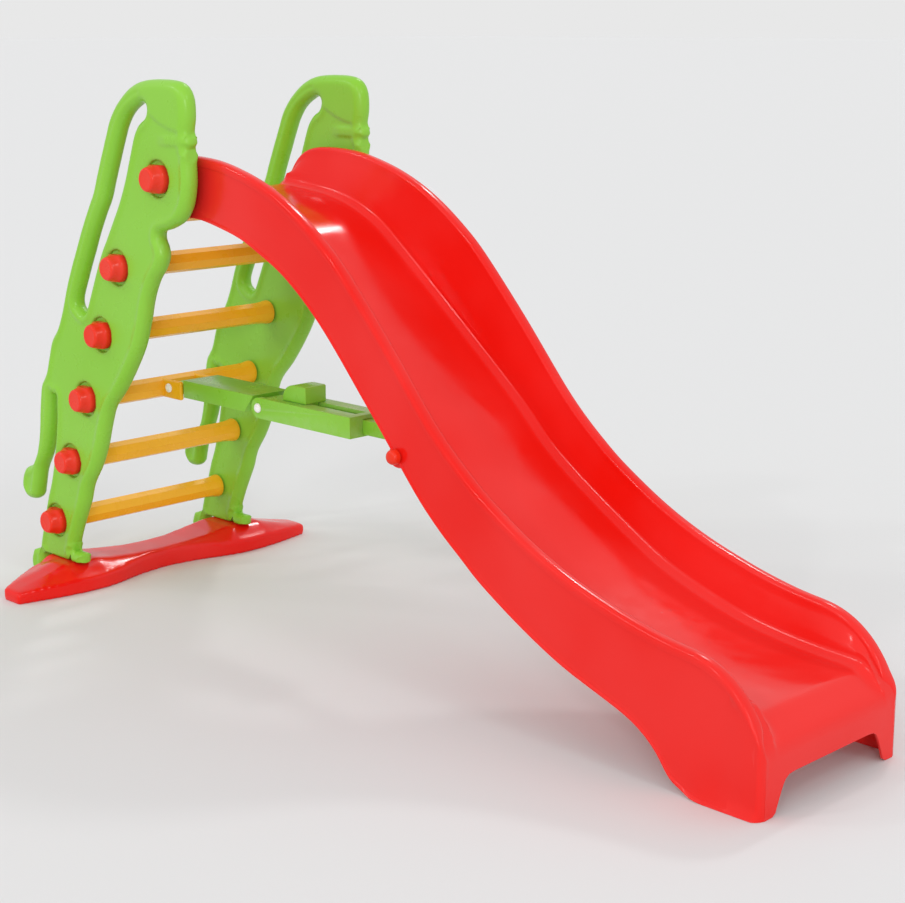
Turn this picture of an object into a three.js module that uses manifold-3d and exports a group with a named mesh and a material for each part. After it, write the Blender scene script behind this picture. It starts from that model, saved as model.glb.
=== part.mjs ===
// A folding toddler slide: two moulded side panels joined by rungs and a foot bar, a one-piece
// chute hung from pivot knobs at the top, and a folding brace between the middle rung and the
// cross rod under the chute. Millimetres, +Z up, +X towards the chute's exit, Y across.
import * as THREE from 'three';
import * as BufferGeometryUtils from 'three/addons/utils/BufferGeometryUtils.js';
import Module from 'manifold-3d';

const wasm = await Module();
wasm.setup();

// ---- Driving dimensions. X is counted from the front of the foot bar's tips. ----
const GAP = 0.3;                    // left between faces that touch
const PANEL_CENTRE = 240;           // half the spacing of the side panels' middle planes
const PANEL_THICK = 43;
const PANEL_BEVEL = 6;
const PANEL_IN = PANEL_CENTRE - PANEL_THICK / 2;
const PANEL_OUT = PANEL_CENTRE + PANEL_THICK / 2;
const REAR_END = -236;              // tip of the handrail's tail
const FRONT_END = 1885;             // front of the chute's apron
const MIDDLE_X = (REAR_END + FRONT_END) / 2;

const RUNG_RADIUS = 24.5;
const RUNG_LOW = [-92, 149];
const RUNG_STEP = [71.5, 155];      // one rung to the next, along the ladder's slope
const RUNG_COUNT = 5;
const CLEVIS_RUNG = 2;              // counted from 0 at the bottom
const TOP_RUNG = [256, 888];
const SPIGOT_RADIUS = 14.6;
const TOP_SPIGOT_RADIUS = 12;
const WELL_RADIUS = 39;
const WELL_DEPTH = 14;
const STEM_RADIUS = 7;
const KNOB_RADIUS = 34;
const KNOB_FLAT = 29.5;             // half height across the knob's two flats
const KNOB_PROUD = 26;

const PIVOT = [351, 969];           // the chute turns here
const PIVOT_STEM_RADIUS = 10.4;

const CHUTE_HALF = 208;             // outside of the skirts
const SHEET = 5;                    // wall of the moulding
const RIM_RADIUS = 14;
const FLOOR_HALF = 138;
const FILLET = 30;
const ARCH_HALF = 132;              // opening in the apron
const ARCH_FOOT = 168;              // the same at the ground
const ARCH_TOP = 66;
const DECK_LIP = 118;

const ROD = [1018, 478];
const ROD_RADIUS = 10;
const CLEVIS_PIN = [90, 462];
const HINGE_PIN = [411, 461];
const PIN_RADIUS = 5.5;
const PIN_CAP_RADIUS = 10.5;
const BRACE_HALF = 50;
const CLEVIS_ARM = [40, 52];        // each arm, across Y
const EYE_HALF = 34;                // the narrow end of the rear link
const CHANNEL_WALL = 14;
const CHANNEL_END = 712;
const CHANNEL_LOW = 438;
const CHANNEL_TOP = 484;
const SLOT_HALF = 15;
const TONGUE_HALF = 13;
const LATCH = { back: 471, front: 548, half: 30, high: 38 };

const FOOT_HIGH = 60;
const FOOT_BOLT_X = -80;

// ---- Colours and finishes ----
function plastic(colour, roughness = 0.35) {
  return new THREE.MeshStandardMaterial({ color: colour, roughness, metalness: 0 });
}
const greenPlastic = plastic(0x74b83a);
const redPlastic = plastic(0xd8201a, 0.25);
const knobPlastic = plastic(0xe23a18);
const orangePlastic = plastic(0xe79a22);
const whitePlastic = plastic(0xf2f2ee);
const steel = new THREE.MeshStandardMaterial({ color: 0xb9bcc0, roughness: 0.35, metalness: 0.9 });

// ---- Solids ----
function solid(geometry) {
  const bare = geometry.index ? geometry.clone() : geometry;
  bare.deleteAttribute('normal');
  bare.deleteAttribute('uv');
  const merged = BufferGeometryUtils.mergeVertices(bare, 1e-3);
  return new wasm.Manifold(new wasm.Mesh({
    numProp: 3,
    vertProperties: new Float32Array(merged.attributes.position.array),
    triVerts: new Uint32Array(merged.index.array),
  }));
}

function mesh(name, shape, material) {
  const { vertProperties, triVerts } = shape.getMesh();
  const geometry = new THREE.BufferGeometry();
  geometry.setAttribute('position', new THREE.BufferAttribute(vertProperties, 3));
  geometry.setIndex(new THREE.BufferAttribute(triVerts, 1));
  geometry.computeVertexNormals();
  const made = new THREE.Mesh(geometry, material);
  made.name = name;
  return made;
}

// A shape drawn in X and Z, made solid from y = low to y = high.
function across(shape, low, high, bevel = 0, curveSegments = 8) {
  const geometry = new THREE.ExtrudeGeometry(shape, {
    depth: high - low - 2 * bevel,
    bevelEnabled: bevel > 0,
    bevelThickness: bevel,
    bevelSize: bevel,
    bevelOffset: -bevel,
    bevelSegments: 1,
    curveSegments,
  });
  geometry.rotateX(Math.PI / 2);
  geometry.translate(0, high - bevel, 0);
  return solid(geometry);
}

// A lathe profile of [radius, y] pairs, turned about a line along Y through (x, z).
function turned(profile, [x, z], segments = 12) {
  const points = profile.map(([r, y]) => new THREE.Vector2(r, y));
  const geometry = new THREE.LatheGeometry(points, segments);
  geometry.translate(x, 0, z);
  return solid(geometry);
}

function rodAcross(radius, low, high, centre, segments = 12) {
  return turned([[0, low], [radius, low], [radius, high], [0, high]], centre, segments);
}

function block([x0, x1], [y0, y1], [z0, z1]) {
  const geometry = new THREE.BoxGeometry(x1 - x0, y1 - y0, z1 - z0);
  geometry.translate((x0 + x1) / 2, (y0 + y1) / 2, (z0 + z1) / 2);
  return solid(geometry);
}

function bothSides(make) {
  return make(-1).add(make(1));
}

// From side * a to side * b, in rising order.
function span(side, a, b) {
  return side < 0 ? [-b, -a] : [a, b];
}

function outline(...runs) {
  const shape = new THREE.Shape();
  runs.forEach((run, i) => {
    const points = run.map(([x, z]) => new THREE.Vector2(x, z));
    if (i === 0) shape.moveTo(points[0].x, points[0].y);
    else shape.lineTo(points[0].x, points[0].y);
    if (points.length > 2) shape.splineThru(points.slice(1));
    else shape.lineTo(points[1].x, points[1].y);
  });
  shape.closePath();
  return shape;
}

function rungCentre(i) {
  return [RUNG_LOW[0] + i * RUNG_STEP[0], RUNG_LOW[1] + i * RUNG_STEP[1]];
}

// ---- Side panel: leg, handrail with its tail, and the round top, moulded in one ----
function panelOutline() {
  const legBack = [[-172, 66], [-160, 106], [-131, 192], [-109, 245], [-93, 300], [-76, 380], [-70, 452]];
  const tailInside = [[-92, 456], [-100, 400], [-110, 345], [-128, 300], [-152, 262], [-168, 210]];
  const tailTip = [[-172, 200], [-190, 182], [-216, 183], [-234, 205], [-232, 232], [-218, 255]];
  const tailOutside = [[-190, 268], [-164, 300], [-150, 352], [-142, 415], [-130, 468], [-108, 502],
    [-94, 540], [-78, 580], [-52, 612], [-32, 650]];
  const railOutside = [[-13, 698], [9, 746], [35, 796], [63, 848], [90, 893], [113, 930], [131, 972],
    [149, 1012], [167, 1050], [185, 1088], [214, 1122], [251, 1150], [289, 1166], [335, 1172],
    [398, 1172], [434, 1164], [453, 1140], [457, 1102], [450, 1064]];
  const band = [[457, 1054], [458, 1044], [450, 1034]];
  const front = [[455, 1008], [455, 962], [444, 918], [420, 886], [384, 868], [350, 858], [343, 846],
    [352, 828], [356, 804], [342, 776], [318, 748], [296, 706], [280, 655], [258, 600], [222, 545],
    [180, 492], [138, 448], [118, 405], [98, 350], [72, 300], [38, 252], [20, 206], [-8, 152],
    [-30, 104]];
  const toe = [[-38, 84], [-4, 84]];
  const notch = [[2, FOOT_HIGH + GAP + 16], [2, FOOT_HIGH + GAP]];
  const notchBack = [[-156, FOOT_HIGH + GAP], [-156, 0]];
  const heel = [[-198, 0], [-208, 12], [-211, 34], [-203, 56]];
  const shape = outline(heel, legBack, tailInside, tailTip, tailOutside, railOutside, band, front, toe,
    notch, notchBack);
  const handSlot = [[52, 654], [66, 664], [86, 704], [110, 754], [133, 798], [157, 834], [184, 876],
    [208, 914], [232, 962], [252, 1012], [270, 1056], [288, 1080], [312, 1096], [318, 1116], [300, 1124],
    [270, 1112], [244, 1094], [222, 1066], [205, 1032], [187, 992], [168, 950], [151, 910], [127, 874],
    [101, 830], [73, 776], [47, 726], [26, 678], [40, 660]];
  const slot = new THREE.Path();
  slot.moveTo(...handSlot[0]);
  slot.splineThru(handSlot.slice(1).concat([handSlot[0]]).map(([x, z]) => new THREE.Vector2(x, z)));
  shape.holes.push(slot);
  return shape;
}

function sidePanel(side) {
  const [low, high] = span(side, PANEL_IN, PANEL_OUT);
  let panel = across(panelOutline(), low, high, PANEL_BEVEL, 1);
  const outerCut = span(side, PANEL_OUT - WELL_DEPTH, PANEL_OUT + 5);
  const throughCut = span(side, PANEL_IN - 5, PANEL_OUT + 5);
  for (let i = 0; i < RUNG_COUNT; i += 1) {
    panel = panel.subtract(rodAcross(WELL_RADIUS, ...outerCut, rungCentre(i), 20));
    panel = panel.subtract(rodAcross(SPIGOT_RADIUS + 0.6, ...throughCut, rungCentre(i)));
  }
  panel = panel.subtract(rodAcross(WELL_RADIUS, ...outerCut, PIVOT, 20));
  panel = panel.subtract(rodAcross(PIVOT_STEM_RADIUS + 0.6, ...throughCut, PIVOT));
  const socket = span(side, PANEL_IN - 5, PANEL_IN + 21);
  panel = panel.subtract(rodAcross(TOP_SPIGOT_RADIUS + 0.6, ...socket, TOP_RUNG));
  return panel.subtract(upright(4.6, FOOT_HIGH - 5, 96, side));
}

// A round bar standing along Z under a side panel's foot.
function upright(radius, low, high, side, segments = 16) {
  const geometry = new THREE.CylinderGeometry(radius, radius, high - low, segments);
  geometry.rotateX(Math.PI / 2);
  geometry.translate(FOOT_BOLT_X, side * PANEL_CENTRE, (low + high) / 2);
  return solid(geometry);
}

// ---- Rungs: eight-sided bars with a flared collar and a spigot at each end ----
function facetedBar(halfLength, centre) {
  const shape = new THREE.Shape();
  const faces = 8;
  for (let i = 0; i < faces; i += 1) {
    const turn = ((i + 0.5) / faces) * 2 * Math.PI;
    const x = centre[0] + RUNG_RADIUS * Math.cos(turn);
    const z = centre[1] + RUNG_RADIUS * Math.sin(turn);
    if (i === 0) shape.moveTo(x, z);
    else shape.lineTo(x, z);
  }
  shape.closePath();
  return across(shape, -halfLength, halfLength);
}

function rungBar(centre, spigotRadius, spigotEnd) {
  const collar = PANEL_IN - GAP;
  const end = [[RUNG_RADIUS - 4, 178], [RUNG_RADIUS + 1, 188], [RUNG_RADIUS + 3.5, collar],
    [spigotRadius, collar], [spigotRadius, spigotEnd], [0, spigotEnd]];
  const otherEnd = end.map(([r, y]) => [r, -y]).reverse();
  return facetedBar(190, centre).add(turned([...otherEnd, ...end], centre));
}

function rung(i) {
  const centre = rungCentre(i);
  const end = PANEL_OUT - WELL_DEPTH - GAP;
  let made = rungBar(centre, SPIGOT_RADIUS, end);
  if (i === CLEVIS_RUNG) {
    made = made.add(bothSides(clevisArm)).subtract(rodAcross(PIN_RADIUS + GAP, -60, 60, CLEVIS_PIN));
  }
  return made.subtract(rodAcross(STEM_RADIUS + 0.5, -end - 5, end + 5, centre, 10));
}

// One ear of the clevis: a plate round the rung that reaches forward past the pin.
function clevisArm(side) {
  const [x, z] = rungCentre(CLEVIS_RUNG);
  const hub = RUNG_RADIUS + 4.5;
  const front = CLEVIS_PIN[0] + 42;
  const shape = new THREE.Shape();
  shape.absarc(x, z, hub, Math.PI / 2, (3 * Math.PI) / 2, false);
  shape.lineTo(front - 8, CHANNEL_LOW + 1);
  shape.lineTo(front, CHANNEL_LOW + 9);
  shape.lineTo(front, CHANNEL_TOP - 10);
  shape.lineTo(front - 8, CHANNEL_TOP - 2);
  shape.closePath();
  return across(shape, ...span(side, ...CLEVIS_ARM));
}

function topRung() {
  return rungBar(TOP_RUNG, TOP_SPIGOT_RADIUS, PANEL_IN + 20);
}

// ---- Knobs: flatted heads with a stem, drawn for the +Y side ----
function knobHead(base) {
  const flatTurn = Math.asin(KNOB_FLAT / KNOB_RADIUS);
  const shape = new THREE.Shape();
  shape.absarc(0, 0, KNOB_RADIUS, -flatTurn, flatTurn, false);
  shape.absarc(0, 0, KNOB_RADIUS, Math.PI - flatTurn, Math.PI + flatTurn, false);
  shape.closePath();
  const foot = across(shape, base, PANEL_OUT + 3, 0, 4);
  const end = PANEL_OUT + KNOB_PROUD;
  const cap = turned([[0, base + 4], [KNOB_FLAT - 0.5, base + 4], [KNOB_FLAT - 0.5, PANEL_OUT + 3],
    [KNOB_FLAT - 6, end - 5], [KNOB_FLAT - 12, end], [0, end]], [0, 0], 16);
  return foot.add(cap);
}

function knob(side, [x, z], stemRadius, stemReach) {
  const base = PANEL_OUT - WELL_DEPTH + GAP;
  const stem = rodAcross(stemRadius, stemReach, base + 2, [0, 0], 10);
  const made = knobHead(base).add(stem);
  const facing = side < 0 ? made.rotate([0, 0, 180]) : made;
  return facing.translate([x, 0, z]);
}

// ---- Foot bar and its bolts ----
function footBar() {
  const frontEdge = [[0, 426], [14, 365], [26, 300], [32, 220], [20, 150], [2, 90], [-10, 0]];
  const backEdge = [[-112, 0], [-118, 90], [-136, 160], [-148, 215], [-146, 275], [-112, 345], [-60, 426]];
  const mirror = (run) => run.map(([x, y]) => [x, -y]).reverse();
  const plan = new THREE.Shape();
  const front = [...frontEdge, ...mirror(frontEdge).slice(1)];
  const back = [...mirror(backEdge), ...backEdge.slice(1)];
  for (const run of [front, back]) {
    if (run === front) plan.moveTo(...run[0]);
    else plan.lineTo(...run[0]);
    plan.splineThru(run.slice(1).map(([x, y]) => new THREE.Vector2(x, y)));
  }
  plan.closePath();
  const flat = solid(new THREE.ExtrudeGeometry(plan, { depth: FOOT_HIGH, bevelEnabled: false, curveSegments: 2 }));
  const top = [[-430, 26], [-380, 34], [-320, 48], [-285, FOOT_HIGH], [-195, FOOT_HIGH], [-150, 53], [-80, 48],
    [0, 46]];
  const side = new THREE.Shape();
  side.moveTo(-430, 0);
  top.forEach(([y, z]) => side.lineTo(y, z));
  [...top].reverse().slice(1).forEach(([y, z]) => side.lineTo(-y, z));
  side.lineTo(430, 0);
  side.closePath();
  const slab = new THREE.ExtrudeGeometry(side, { depth: 260, bevelEnabled: false });
  slab.rotateX(Math.PI / 2);
  slab.rotateZ(Math.PI / 2);
  slab.translate(-200, 0, 0);
  let made = flat.intersect(solid(slab));
  for (const at of [-1, 1]) {
    made = made.subtract(upright(4.6, -5, FOOT_HIGH + 5, at));
    made = made.subtract(upright(9.5, -5, 12, at));
  }
  return made;
}

function footBolt(side) {
  return upright(9, 4, 11.5, side).add(upright(4.2, 10, 92, side));
}

// ---- Chute: one sheet that runs from skirt to skirt over two rims and the floor ----
const chuteLine = (points) => new THREE.SplineCurve(points.map(([x, z]) => new THREE.Vector2(x, z)));
const rimLine = chuteLine([[245, 931], [262, 955], [282, 984], [312, 1006], [352, 1015], [420, 1016], [486, 1010],
  [550, 996], [613, 977], [675, 951], [736, 917], [796, 875], [855, 825], [970, 704], [1083, 575],
  [1138, 520], [1192, 475], [1245, 436], [1348, 375], [1448, 330], [1548, 297], [1616, 279], [1681, 266],
  [1746, 257], [1790, 240], [1825, 214], [1852, 184], [1868, 152], [1879, 122]]);
const floorLine = chuteLine([[245, 927], [283, 929], [362, 921], [427, 913], [490, 898], [551, 874], [600, 845],
  [700, 768], [850, 648], [996, 528], [1064, 463], [1107, 428], [1190, 372], [1280, 317], [1367, 267],
  [1427, 241], [1498, 216], [1571, 195], [1650, 180], [1726, 171], [1790, 168], [1835, 160], [1862, 142],
  [1879, 118]]);
const skirtLine = chuteLine([[245, 919], [288, 917], [322, 899], [380, 889], [431, 887], [497, 874], [562, 857],
  [624, 830], [686, 799], [746, 757], [805, 706], [862, 647], [919, 584], [975, 523], [1030, 460],
  [1085, 400], [1138, 352], [1191, 312], [1243, 273], [1345, 213], [1443, 165], [1538, 131],
  [1600, 108], [1640, 84], [1668, 58], [1690, 24], [1712, 6], [1750, 0], [1879, 0]]);

// Height of a line at x: the lines only ever run forwards.
function heightAt(line, x) {
  let low = 0;
  let high = 1;
  for (let i = 0; i < 40; i += 1) {
    const middle = (low + high) / 2;
    if (line.getPoint(middle).x < x) low = middle;
    else high = middle;
  }
  return line.getPoint((low + high) / 2).y;
}

// Half of the outer skin's section at x, from the skirt's hem to the middle of the floor.
function halfSection(x) {
  const floor = heightAt(floorLine, x);
  const hem = Math.max(heightAt(skirtLine, x), 0);
  const wall = Math.max(heightAt(rimLine, x) - floor, 14);
  const rim = floor + wall;
  const radius = Math.min(RIM_RADIUS, wall * 0.6);
  const fillet = Math.min(FILLET, wall - radius);
  const crown = CHUTE_HALF - radius;
  const points = [[CHUTE_HALF, Math.min(hem, rim - radius - 2)], [CHUTE_HALF, rim - radius]];
  for (const part of [1 / 3, 2 / 3, 1]) {
    const turn = part * Math.PI;
    points.push([crown + radius * Math.cos(turn), rim - radius + radius * Math.sin(turn)]);
  }
  for (const part of [0, 0.5, 1]) {
    const turn = part * (Math.PI / 2);
    points.push([FLOOR_HALF + FILLET * Math.cos(turn), floor + fillet - fillet * Math.sin(turn)]);
  }
  points.push([0, floor]);
  return points;
}

// The section's two skins: the drawn one, and the same line moved in by the sheet's thickness.
function sectionSkins(x) {
  const half = halfSection(x);
  const outer = [...half, ...half.slice(0, -1).reverse().map(([y, z]) => [-y, z])];
  const inner = outer.map(([y, z], i) => {
    const before = i === 0 ? [y, z - 1] : outer[i - 1];
    const after = i === outer.length - 1 ? [y, z - 1] : outer[i + 1];
    const [dy, dz] = [after[0] - before[0], after[1] - before[1]];
    const length = Math.hypot(dy, dz);
    return [y - (SHEET * dz) / length, z + (SHEET * dy) / length];
  });
  return [outer, inner];
}

function chuteSheet(stations) {
  const position = [];
  const index = [];
  const width = sectionSkins(stations[0])[0].length;
  for (const x of stations) {
    sectionSkins(x).flat().forEach(([y, z]) => position.push(x, y, z));
  }
  const at = (station, skin, i) => (station * 2 + skin) * width + i;
  const quad = (a, b, c, d) => index.push(a, c, b, a, d, c);
  const last = stations.length - 1;
  for (let s = 0; s < last; s += 1) {
    for (let i = 0; i < width - 1; i += 1) {
      quad(at(s, 0, i), at(s + 1, 0, i), at(s + 1, 0, i + 1), at(s, 0, i + 1));
      quad(at(s, 1, i), at(s, 1, i + 1), at(s + 1, 1, i + 1), at(s + 1, 1, i));
    }
    quad(at(s, 0, 0), at(s, 1, 0), at(s + 1, 1, 0), at(s + 1, 0, 0));
    quad(at(s, 0, width - 1), at(s + 1, 0, width - 1), at(s + 1, 1, width - 1), at(s, 1, width - 1));
  }
  for (let i = 0; i < width - 1; i += 1) {
    quad(at(0, 0, i), at(0, 0, i + 1), at(0, 1, i + 1), at(0, 1, i));
    quad(at(last, 0, i), at(last, 1, i), at(last, 1, i + 1), at(last, 0, i + 1));
  }
  const geometry = new THREE.BufferGeometry();
  geometry.setAttribute('position', new THREE.Float32BufferAttribute(position, 3));
  geometry.setIndex(index);
  return solid(geometry);
}

function chuteStations() {
  const steps = [[245, 352, 27], [352, 620, 45], [620, 1000, 76], [1000, 1450, 64], [1450, 1640, 63],
    [1640, 1760, 30], [1760, 1879, 20]];
  const stations = steps.flatMap(([from, to, step]) => {
    const count = Math.round((to - from) / step);
    return Array.from({ length: count }, (_, i) => from + ((to - from) * i) / count);
  });
  return [...stations, 1879];
}

// The apron closes the exit end below the deck, with an arch between its two feet.
function apron() {
  const shape = new THREE.Shape();
  shape.moveTo(-CHUTE_HALF, 0);
  shape.lineTo(-CHUTE_HALF, DECK_LIP - 12);
  shape.quadraticCurveTo(-CHUTE_HALF, DECK_LIP, -CHUTE_HALF + 14, DECK_LIP);
  shape.lineTo(CHUTE_HALF - 14, DECK_LIP);
  shape.quadraticCurveTo(CHUTE_HALF, DECK_LIP, CHUTE_HALF, DECK_LIP - 12);
  shape.lineTo(CHUTE_HALF, 0);
  shape.lineTo(ARCH_FOOT, 0);
  shape.quadraticCurveTo(ARCH_HALF + 10, ARCH_TOP, ARCH_HALF - 14, ARCH_TOP);
  shape.lineTo(-ARCH_HALF + 14, ARCH_TOP);
  shape.quadraticCurveTo(-ARCH_HALF - 10, ARCH_TOP, -ARCH_FOOT, 0);
  shape.closePath();
  const depth = FRONT_END - 1876;
  const geometry = new THREE.ExtrudeGeometry(shape, { depth, bevelEnabled: false, curveSegments: 4 });
  geometry.rotateX(Math.PI / 2);
  geometry.rotateZ(Math.PI / 2);
  geometry.translate(1876, 0, 0);
  return solid(geometry);
}

function rodEar(side) {
  return rodAcross(24, ...span(side, CHUTE_HALF - SHEET, CHUTE_HALF), ROD);
}

function chute() {
  let shape = chuteSheet(chuteStations()).add(apron()).add(bothSides(rodEar));
  shape = shape.subtract(rodAcross(ROD_RADIUS + 0.6, -CHUTE_HALF - 5, CHUTE_HALF + 5, ROD));
  for (const side of [-1, 1]) {
    const wall = span(side, CHUTE_HALF - SHEET - 5, CHUTE_HALF + 5);
    shape = shape.subtract(rodAcross(PIVOT_STEM_RADIUS + 0.6, ...wall, PIVOT));
  }
  return shape;
}

function rodCap(side) {
  const start = CHUTE_HALF + GAP;
  const profile = [[ROD_RADIUS + 0.6, start], [15, start], [15, start + 9], [12.5, start + 14],
    [6.5, start + 16.5], [0, start + 17.5], [0, start + 10], [ROD_RADIUS + 0.6, start + 10]];
  const cap = turned([...profile, profile[0]], [0, 0]);
  const facing = side < 0 ? cap.rotate([0, 0, 180]) : cap;
  return facing.translate([ROD[0], 0, ROD[1]]);
}

// ---- Brace: rear link, slotted channel, tongue that hooks round the cross rod, and latch ----
// A plate with a straight-sided outline in X and Z.
function plate(points, low, high) {
  const shape = new THREE.Shape(points.map(([x, z]) => new THREE.Vector2(x, z)));
  return across(shape, low, high);
}

// A round end about a pin, with its shank reaching back to x = towards.
function eye([x, z], radius, towards, half) {
  const shape = new THREE.Shape();
  const away = Math.sign(x - towards);
  const start = away > 0 ? -Math.PI / 2 : Math.PI / 2;
  shape.absarc(x, z, radius, start, start + Math.PI, false);
  shape.lineTo(towards, z + away * radius);
  shape.lineTo(towards, z - away * radius);
  shape.closePath();
  return across(shape, -half, half);
}

function rearLink() {
  const back = CLEVIS_PIN[0] + 52;
  const front = HINGE_PIN[0] - 48;
  const low = CHANNEL_LOW + 8;
  const top = CHANNEL_TOP + 2;
  const brow = HINGE_PIN[0] - 17;
  const body = plate([[back, low], [front, low], [brow, top], [back, top]], -BRACE_HALF, BRACE_HALF);
  let link = body.add(eye(CLEVIS_PIN, 12, back + 10, CLEVIS_ARM[0] - 2));
  link = link.add(eye(HINGE_PIN, 14, front - 10, EYE_HALF));
  link = link.subtract(rodAcross(PIN_RADIUS + GAP, -60, 60, CLEVIS_PIN));
  return link.subtract(rodAcross(PIN_RADIUS + GAP, -60, 60, HINGE_PIN));
}

function channel() {
  const inner = BRACE_HALF - CHANNEL_WALL;
  const front = CHANNEL_END;
  const wall = (side) => {
    const shape = new THREE.Shape();
    const half = (CHANNEL_TOP - CHANNEL_LOW) / 2;
    shape.absarc(HINGE_PIN[0], HINGE_PIN[1], half, Math.PI / 2, (3 * Math.PI) / 2, false);
    shape.lineTo(front, CHANNEL_LOW);
    shape.lineTo(front, CHANNEL_TOP);
    shape.closePath();
    return across(shape, ...span(side, inner, BRACE_HALF));
  };
  let made = bothSides(wall);
  const lid = block([HINGE_PIN[0] + 12, front], [-inner - 1, inner + 1], [CHANNEL_TOP - 8, CHANNEL_TOP]);
  const end = block([front - 12, front], [-inner - 1, inner + 1], [CHANNEL_LOW, CHANNEL_TOP]);
  const slot = block([455, front - 20], [-SLOT_HALF, SLOT_HALF], [CHANNEL_TOP - 12, CHANNEL_TOP + 4]);
  const window = block([front - 20, front + 5], [-TONGUE_HALF - 0.5, TONGUE_HALF + 0.5], [441.5, 474.5]);
  made = made.add(lid).add(end).subtract(slot).subtract(window);
  return made.subtract(rodAcross(PIN_RADIUS + GAP, -60, 60, HINGE_PIN));
}

// The tongue runs under the cross rod; its saddle is open upwards so that the brace can drop away.
function tongue() {
  const low = 442;
  const top = 474;
  const seat = ROD[1] - ROD_RADIUS - 2;
  const points = [[480, low], [1036, low], [1036, top - 1], [1030.5, top - 1], [1030.5, seat],
    [ROD[0] - 6, seat], [ROD[0] - 24, top], [480, top]];
  return plate(points, -TONGUE_HALF, TONGUE_HALF);
}

function latch() {
  const base = CHANNEL_TOP + GAP;
  const { back, front, half, high } = LATCH;
  const shape = new THREE.Shape();
  shape.moveTo(back, base);
  shape.lineTo(front, base);
  shape.lineTo(front, base + high - 4);
  shape.quadraticCurveTo(front, base + high, front - 6, base + high);
  shape.lineTo(back + 40, base + high);
  shape.quadraticCurveTo(back + 4, base + high - 2, back, base + 6);
  shape.closePath();
  const grip = across(shape, -half, half);
  const keel = block([back + 8, front - 8], [-SLOT_HALF + 1, SLOT_HALF - 1], [475, base + 2]);
  return grip.add(keel);
}

function pin(centre, half) {
  const start = half + GAP;
  const side = [[PIN_RADIUS, start], [PIN_CAP_RADIUS, start], [PIN_CAP_RADIUS - 1, start + 3],
    [PIN_CAP_RADIUS - 5, start + 5.5], [0, start + 6.5]];
  const mirrored = side.map(([r, y]) => [r, -y]).reverse();
  return turned([...mirrored, ...side], centre);
}

// ---- The whole slide ----
const group = new THREE.Group();
const slide = new THREE.Group();
slide.position.x = -MIDDLE_X;
group.add(slide);

const sides = [['near', -1], ['far', 1]];
const rungEnd = PANEL_OUT - WELL_DEPTH;
for (const [word, side] of sides) {
  slide.add(mesh(`side_panel_${word}`, sidePanel(side), greenPlastic));
  slide.add(mesh(`foot_bolt_${word}`, footBolt(side), steel));
  slide.add(mesh(`rod_cap_${word}`, rodCap(side), knobPlastic));
  const pivotKnob = knob(side, PIVOT, PIVOT_STEM_RADIUS, CHUTE_HALF - 15);
  slide.add(mesh(`pivot_knob_${word}`, pivotKnob, knobPlastic));
  for (let i = 0; i < RUNG_COUNT; i += 1) {
    const screwed = knob(side, rungCentre(i), STEM_RADIUS, rungEnd - 45);
    slide.add(mesh(`knob_${word}_${i + 1}`, screwed, knobPlastic));
  }
}
for (let i = 0; i < RUNG_COUNT; i += 1) {
  slide.add(mesh(`rung_${i + 1}`, rung(i), orangePlastic));
}
slide.add(mesh('top_rung', topRung(), orangePlastic));
slide.add(mesh('foot_bar', footBar(), redPlastic));
slide.add(mesh('chute', chute(), redPlastic));
slide.add(mesh('cross_rod', rodAcross(ROD_RADIUS, -CHUTE_HALF - 9, CHUTE_HALF + 9, ROD), steel));
slide.add(mesh('rear_link', rearLink(), greenPlastic));
slide.add(mesh('brace_channel', channel(), greenPlastic));
slide.add(mesh('brace_tongue', tongue(), greenPlastic));
slide.add(mesh('latch_slide', latch(), greenPlastic));
slide.add(mesh('clevis_pin', pin(CLEVIS_PIN, CLEVIS_ARM[1]), whitePlastic));
slide.add(mesh('hinge_pin', pin(HINGE_PIN, BRACE_HALF), whitePlastic));

export default group;
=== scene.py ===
"""A folding toddler slide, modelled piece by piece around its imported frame."""
import math

import bpy
import numpy as np
from bpy.props import FloatProperty, FloatVectorProperty, PointerProperty
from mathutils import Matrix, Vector
from mathutils.kdtree import KDTree


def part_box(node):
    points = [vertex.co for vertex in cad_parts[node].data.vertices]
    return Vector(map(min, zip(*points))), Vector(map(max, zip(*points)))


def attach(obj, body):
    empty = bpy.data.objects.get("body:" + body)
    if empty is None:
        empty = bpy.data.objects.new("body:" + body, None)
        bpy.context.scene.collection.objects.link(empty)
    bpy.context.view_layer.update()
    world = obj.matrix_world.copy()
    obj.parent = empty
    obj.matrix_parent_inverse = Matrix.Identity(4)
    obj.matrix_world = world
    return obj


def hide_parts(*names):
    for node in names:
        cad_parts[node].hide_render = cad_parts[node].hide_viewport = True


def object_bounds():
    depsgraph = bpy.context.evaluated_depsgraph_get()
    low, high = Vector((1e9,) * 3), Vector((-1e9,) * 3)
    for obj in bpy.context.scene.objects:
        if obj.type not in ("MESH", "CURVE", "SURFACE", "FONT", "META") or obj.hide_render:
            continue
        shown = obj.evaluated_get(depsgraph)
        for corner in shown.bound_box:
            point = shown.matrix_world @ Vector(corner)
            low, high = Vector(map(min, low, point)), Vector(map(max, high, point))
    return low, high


bl_info = {
    "name": "Toddler slide",
    "version": (1, 0, 0),
    "blender": (4, 5, 0),
    "location": "3D View > Sidebar > Slide",
    "description": "Builds a folding toddler slide around its packed frame",
    "category": "Add Mesh",
}

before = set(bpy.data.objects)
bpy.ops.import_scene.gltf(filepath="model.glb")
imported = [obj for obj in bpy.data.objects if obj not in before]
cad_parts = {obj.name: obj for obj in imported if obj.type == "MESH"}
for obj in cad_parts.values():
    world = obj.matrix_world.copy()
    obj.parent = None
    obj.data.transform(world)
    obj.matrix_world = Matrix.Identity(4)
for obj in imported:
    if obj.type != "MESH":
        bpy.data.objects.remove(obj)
CAD_LOW, CAD_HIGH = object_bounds()

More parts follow.
